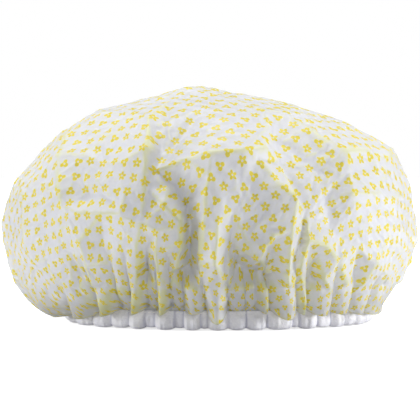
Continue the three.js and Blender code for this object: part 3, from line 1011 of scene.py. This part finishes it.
# %% [markdown]
# ## Terry lining
#
# The lining is a disc of thin terry, sewn in with the film and a little smaller, so it hangs
# in softer folds inside it. It could be simulated as well, but then it would have to be kept
# apart from the film. Instead it is laid against the film's inside: from a smooth form well
# inside, each point looks outwards for the film and stays a few millimetres short of it.

# %% Where the lining lies
LINING_GAP = 2.1 * MM
NEAR = 0.03  # the lining keeps clear of the lowest film this near it, as a share of the disc
LAST_LOOSE_SHARE = 0.86
# from that ring the lining runs just inside the rim and down into the tape, by way of these
# places: (ring share, mm outside the rim's line, mm above the floor)
WAY_INTO_TAPE = ((0.93, -1.6, 23.0), (0.96, -0.9, 16.5), (1.0, -0.6, EDGE_HEIGHT))

film_places = KDTree(len(film_flat))
film_rises = []
for index, flat in enumerate(film_flat):
    share, angle = share_and_angle(flat)
    film_places.insert(flat, index)
    away = film_points[index] - film_smooth[index]
    film_rises.append(away.dot(outwards(share, angle)) if share < 0.9 else 0.0)
film_places.balance()


def loose_lining(share, angle):
    """A point of the lining under the film's lowest point near it."""
    flat = Vector((share * math.cos(angle), share * math.sin(angle), 0))
    rise = min(film_rises[index] for _, index, _ in film_places.find_range(flat, NEAR))
    return smooth_form(share, angle) + outwards(share, angle) * (rise - LINING_GAP)


def lining_point(flat):
    """A point of the lining, loose or on its way into the tape's grip."""
    share, angle = share_and_angle(flat)
    if share <= LAST_LOOSE_SHARE:
        return loose_lining(share, angle)
    way = [(LAST_LOOSE_SHARE, loose_lining(LAST_LOOSE_SHARE, angle))]
    way += [(ring, rim_point(angle, offset, height)) for ring, offset, height in WAY_INTO_TAPE]
    i = bisect.bisect_left([ring for ring, _ in way], share) - 1
    (start, before), (end, after) = way[i], way[i + 1]
    return before.lerp(after, (share - start) / (end - start))


print("film's highest rise in mm:", round(max(film_rises) / MM, 1))

# %% Lining
LINING_GRID = 90
LINING_THICKNESS = 1.2 * MM
SMOOTHED_SHARE = 0.94  # inside this ring its folds are softened
SMOOTHINGS = 2

lining = flat_disc("lining", LINING_GRID)
lining_flat = [vertex.co.copy() for vertex in lining.data.vertices]
for vertex, flat in zip(lining.data.vertices, lining_flat):
    vertex.co = lining_point(flat)
shape = bmesh.new()
shape.from_mesh(lining.data)
soft = [v for v, flat in zip(shape.verts, lining_flat) if flat.length < SMOOTHED_SHARE]
for _ in range(SMOOTHINGS):
    bmesh.ops.smooth_vert(
        shape, verts=soft, factor=0.5, use_axis_x=True, use_axis_y=True, use_axis_z=True
    )
shape.to_mesh(lining.data)
shape.free()
thicker = lining.modifiers.new("thickness", "SOLIDIFY")
thicker.thickness = LINING_THICKNESS
thicker.offset = -1
finer = lining.modifiers.new("finer", "SUBSURF")
finer.levels = finer.render_levels = 1
print("lining:", len(lining.data.vertices), "vertices")

# %% [markdown]
# ## Terry, for the lining and the tape
#
# Terry is a knit or weave with loops of cotton or polyester standing on it. What the eye
# sees is a soft, matte, slightly uneven white, with tiny round loops close by. A Voronoi
# texture with cells of the loops' size makes them, and noise makes them lie in patches.
# Between the loops the colour turns to a painted shade. In the tape's pinches, which an
# attribute marks, a darker painted shade stands for the shade that falls there.

# %% Terry material
# painted shade for the tape's pinches, where shade falls between the lobes
PAINTED_PINCH_SHADE = "#AEAEC4"
PATCH = 9  # mm across


def terry_material(name, colour, shade, loop, depth):
    """Terry with loops of a width and a depth in mm, and a painted shade between them."""
    made, tree = new_material(name)
    place = add_node(tree, "TexCoord")
    loops = add_node(
        tree,
        "TexVoronoi",
        {"Vector": place.outputs["Object"], "Scale": 1 / (loop * MM)},
        feature="SMOOTH_F1",
    )
    patches = add_node(
        tree,
        "TexNoise",
        {"Vector": place.outputs["Object"], "Scale": 1 / (PATCH * MM), "Detail": 4.0},
    )
    # painted shade between the loops, made patchy by the noise
    tone = add_node(
        tree, "MapRange", {0: loops.outputs["Distance"], 1: 0.1, 2: 0.75, 3: 0.0, 4: 0.8}
    )
    painted_loop_shade = add_node(tree, "Math", {0: tone, 1: patches}, operation="MULTIPLY")
    mixed = add_node(
        tree, "Mix", {0: painted_loop_shade, 6: linear(colour), 7: linear(shade)}, data_type="RGBA"
    )
    # painted shade in the tape's pinches, from the pinch attribute
    pinch_shade_node = add_node(tree, "Attribute", attribute_name="pinch")
    pinch_shaded_colour = add_node(
        tree,
        "Mix",
        {0: pinch_shade_node.outputs["Fac"], 6: mixed.outputs[2], 7: linear(PAINTED_PINCH_SHADE)},
        data_type="RGBA",
    )
    height = add_node(
        tree, "Math", {0: loops.outputs["Distance"], 1: -1.0, 2: patches}, operation="MULTIPLY_ADD"
    )
    pile = add_node(tree, "Bump", {"Strength": 0.8, "Distance": depth * MM, "Height": height})
    cloth = add_node(
        tree,
        "BsdfPrincipled",
        {
            "Base Color": pinch_shaded_colour.outputs[2],
            "Roughness": 0.95,
            "Specular IOR Level": 0.2,
            "Sheen Weight": 0.35,
            "Sheen Roughness": 0.5,
            "Normal": pile,
        },
    )
    add_node(tree, "OutputMaterial", {"Surface": cloth})
    return made


# the second colour is the painted shade between the loops
lining.data.materials.append(
    terry_material("white_cotton_terry_lining", "#F3F3F6", "#D9D9E2", 1.5, 0.7)
)
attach(lining, "root")
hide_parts("terry_lining")
print("lining material:", lining.data.materials[0].name)

# %% [markdown]
# ## Gathered tape
#
# The tape is folded over the edges and sewn through. The elastic in its fold draws it in, so
# it swells between pinches into soft lobes and hangs lower in each lobe than in a pinch.
# Its section is a closed ring of points. A spin gives the band its faces, and then each
# point finds its place from the lobe that it is in. The front's lobes are placed by the
# pixels of their pinches, the others at an uneven pitch.

# %% Lobes
# pixel of the pinch where a front lobe begins, and how full the lobe is
FRONT_LOBES = (
    (73, 0.9), (91, 1.0), (109.5, 0.8), (128, 1.0), (144, 0.3), (154, 1.0), (174, 0.3),
    (183, 1.0), (200.5, 0.45), (207.5, 1.0), (228, 0.9), (246, 1.0), (267, 1.0),
    (293, 0.35), (300, 1.0), (318, 0.75), (332, 0.95), (346, 0.8),
)
HIDDEN_LOBES = 27
LOBE_STRAY = 0.3  # of a lobe's width


def uneven_angles(start, end, count, stray):
    """Angles between two, at an uneven pitch."""
    pitch = (end - start) / count
    return [start + (i + random.uniform(-stray, stray)) * pitch for i in range(1, count)]


lobes = [(rim_angle(pixel), full) for pixel, full in FRONT_LOBES]
hidden_from, hidden_to = lobes[-1][0], lobes[0][0] + FULL_TURN
for angle in uneven_angles(hidden_from, hidden_to, HIDDEN_LOBES, LOBE_STRAY):
    lobes.append((angle % FULL_TURN, random.uniform(0.5, 1.0)))
lobes.sort()
PINCH_ANGLES = [angle for angle, _ in lobes]


def lobe_at(angle):
    """How full the tape is at an angle, from 0 in a pinch."""
    angle %= FULL_TURN
    i = bisect.bisect_right(PINCH_ANGLES, angle) - 1
    start = PINCH_ANGLES[i]
    wide = (PINCH_ANGLES[(i + 1) % len(lobes)] - start) % FULL_TURN
    place = 2 * ((angle - start) % FULL_TURN) / wide - 1
    return lobes[i][1] * (1 - abs(place) ** 2.4) ** 0.7


print("lobes:", len(lobes))

# %% Tape
# A section's points as (offset, height, how much a lobe swells it out, and up, and the least
# that it keeps away from the elastic's middle), in mm
TAPE_SECTION = (
    (1.2, 0.3, 0.5, 1.0, 0.4), (2.3, 1.3, 0.8, 0.8, 1.6), (2.75, 3.5, 1.0, 0.4, 2.3),
    (2.75, 7.5, 1.0, 0.0, 2.3), (2.5, 9.6, 0.75, 0.0, 2.1), (2.1, 11.2, 0.3, 0.0, 2.0),
    (2.0, 12.6, 0.08, 0.0, 1.9), (1.9, 14.0, 0.0, 0.0, 1.9), (1.3, 14.0, 0.0, 0.0, 1.3),
    (1.2, 11.0, 0.0, 0.0, 1.2), (1.9, 7.5, 0.6, 0.0, 1.6), (1.6, 2.2, 0.3, 0.4, 1.4),
    (0.0, 1.4, 0.0, 0.6, 0.0), (-1.6, 2.2, -0.3, 0.4, 1.4), (-1.9, 7.5, -0.4, 0.0, 1.6),
    (-1.2, 11.0, 0.0, 0.0, 1.2), (-1.3, 14.0, 0.0, 0.0, 1.3), (-1.9, 14.0, 0.0, 0.0, 1.9),
    (-2.0, 12.6, -0.05, 0.0, 1.9), (-2.75, 7.5, -0.5, 0.0, 2.3), (-2.3, 1.3, -0.4, 0.8, 1.6),
    (-1.2, 0.3, -0.2, 1.0, 0.4),
)
TAPE_COLUMNS = 720
SPIN_RADIUS = 100  # for the spin only: then each point finds its own place
LOBE_SWELL = 4.3  # mm
PINCH_IN = 1.9  # mm
PINCH_RISE = 2.0  # mm
GRIP_HEIGHT = 10  # mm; above it the tape grips the film
GRIP_WAVE = 0.25  # mm
# painted shade in the pinches: its share in the middle of a pinch, and where it ends
PINCH_DARK = 0.85  # share of the pinch's shade in the middle of a pinch
PINCH_WIDTH = 0.42  # how full the tape is where that shade ends
# small unevenness as (how often, slant, seed, size in mm)
RIPPLES = ((34, 0.05, 0, 1.9), (90, 0.08, 5, 0.8))

shape = bmesh.new()
row_layer = shape.verts.layers.int.new("row")
pinch_shade_layer = shape.verts.layers.float.new("pinch")
section = []
for row, (offset, height, *_) in enumerate(TAPE_SECTION):
    corner = shape.verts.new((SPIN_RADIUS + offset, 0, height))
    corner[row_layer] = row
    section.append(corner)
lines = [
    shape.edges.new((section[i], section[(i + 1) % len(section)])) for i in range(len(section))
]
bmesh.ops.spin(
    shape,
    geom=section + lines,
    cent=(0, 0, 0),
    axis=(0, 0, 1),
    angle=FULL_TURN,
    steps=TAPE_COLUMNS,
    use_merge=True,
)
for vertex in shape.verts:
    offset, height, out, up, least = TAPE_SECTION[vertex[row_layer]]
    angle = math.atan2(vertex.co.y, vertex.co.x)
    full = lobe_at(angle)
    ripple = sum(
        size * noise.noise(Vector((angle * often, height * slant, seed)))
        for often, slant, seed, size in RIPPLES
    )
    if height > GRIP_HEIGHT:
        reach = offset + GRIP_WAVE * (2 * full - 1) + out * full * LOBE_SWELL
    else:
        reach = offset + out * (full * LOBE_SWELL - (1 - full) * PINCH_IN + ripple)
    if offset:
        reach = math.copysign(max(reach if offset > 0 else -reach, least), offset)
    vertex.co = rim_point(angle, reach, height + up * (1 - full) * PINCH_RISE)
    # painted shade, strongest in the middle of a pinch
    vertex[pinch_shade_layer] = PINCH_DARK * ease(PINCH_WIDTH, 0.0, full)
bmesh.ops.recalc_face_normals(shape, faces=shape.faces)
tape = new_piece("tape", shape)
finer = tape.modifiers.new("finer", "SUBSURF")
finer.levels = finer.render_levels = 1
# the second colour is the painted shade between the loops
tape.data.materials.append(terry_material("white_terry_tape", "#FAFAFF", "#E4E4F0", 1.1, 0.5))
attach(tape, "root")
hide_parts("rim_binding")
print("tape:", len(tape.data.vertices), "vertices")

# %% [markdown]
# ## Stitches
#
# A row of lockstitches holds the tape, the film and the lining together. Each stitch is a
# short length of thread that dips into the tape at both ends. One small capsule is made and
# set down again and again along the row, a little aslant.

# %% Stitches
# in mm
STITCH_LENGTH = 2.6
STITCH_PITCH = 3.2
THREAD_RADIUS = 0.28
STITCH_HEIGHT = 12.5
STITCH_OFFSET = 2.1
ASLANT = 0.12  # rise per length of a stitch


def stitch_row(name, face, node):
    """A row of stitches on the tape's outer face, 1, or inner face, -1."""
    around = math.pi * (RIM_HALF.x + RIM_HALF.y) / MM
    count = round(around / STITCH_PITCH)
    shape = bmesh.new()
    for i in range(count):
        angle = FULL_TURN * i / count
        made = bmesh.ops.create_uvsphere(shape, u_segments=6, v_segments=5, radius=THREAD_RADIUS)
        away = level_outwards(angle) * face
        run = Vector((-away.y, away.x, ASLANT)).normalized()
        up = away.cross(run)
        middle = rim_point(angle, face * STITCH_OFFSET, STITCH_HEIGHT)
        stretch = STITCH_LENGTH / (2 * THREAD_RADIUS)
        for vertex in made["verts"]:
            local = vertex.co * MM
            vertex.co = middle + away * local.x + up * local.y + run * local.z * stretch
    row = new_piece(name, shape)
    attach(row, "root")
    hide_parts(node)
    return row


outer_stitches = stitch_row("outer_stitches", 1, "outer_seam_thread")
inner_stitches = stitch_row("inner_stitches", -1, "inner_seam_thread")
print("faces in a row of stitches:", len(outer_stitches.data.polygons))

# %% [markdown]
# ## Yarn, for the thread and the elastic
#
# The thread is spun polyester: two plies twisted together, which show as slanting bands. The
# elastic has cores of rubber along it with white yarn wound over them, which show as fine
# ribs. Both are a wave in the relief of a matte white, so one function makes them. Ribs as
# fine as the real ones wouldn't show, so the elastic's are drawn three times as coarse.

# %% Yarn material
# metres between two bands of a wave texture with a scale of 1
WAVE_PITCHES = {"Z": FULL_TURN / 20, "DIAGONAL": FULL_TURN / (10 * math.sqrt(3))}


def yarn_material(name, colour, roughness, direction, pitch, distortion, relief):
    """Yarn with a pitch in mm of its bands; relief is their strength and their depth in mm."""
    made, tree = new_material(name)
    place = add_node(tree, "TexCoord")
    bands = add_node(
        tree,
        "TexWave",
        {
            "Vector": place.outputs["Object"],
            "Scale": WAVE_PITCHES[direction] / (pitch * MM),
            "Distortion": distortion,
        },
        bands_direction=direction,
    )
    strength, depth = relief
    ridges = add_node(
        tree, "Bump", {"Strength": strength, "Distance": depth * MM, "Height": bands.outputs[1]}
    )
    fibre = add_node(
        tree,
        "BsdfPrincipled",
        {
            "Base Color": linear(colour),
            "Roughness": roughness,
            "Sheen Weight": 0.2,
            "Normal": ridges,
        },
    )
    add_node(tree, "OutputMaterial", {"Surface": fibre})
    return made


spun_thread = yarn_material(
    "spun_polyester_thread", "#FAFAFA", 0.55, "DIAGONAL", 0.871, 1.0, (0.5, 0.1)
)
for row in (outer_stitches, inner_stitches):
    row.data.materials.append(spun_thread)
print("thread material:", spun_thread.name)

# %% [markdown]
# ## The elastic and its tack
#
# The elastic lies in the fold of the tape, where nobody sees it unless the tape is cut open.
# It could be modelled again, but its CAD strip has the right shape already. So the strip and
# the tack that joins its ends only get a finish.


# %% Finish of the elastic and its tack
def refinish(node, material):
    """Gives a CAD node a better material."""
    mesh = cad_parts[node].data
    mesh.materials.clear()
    mesh.materials.append(material)


woven_elastic = yarn_material("woven_rubber_elastic", "#F3F1EA", 0.75, "Z", 2.36, 0.3, (0.6, 0.2))
refinish("elastic_loop", woven_elastic)
refinish("elastic_tack_thread", spun_thread)
print("elastic material:", woven_elastic.name)
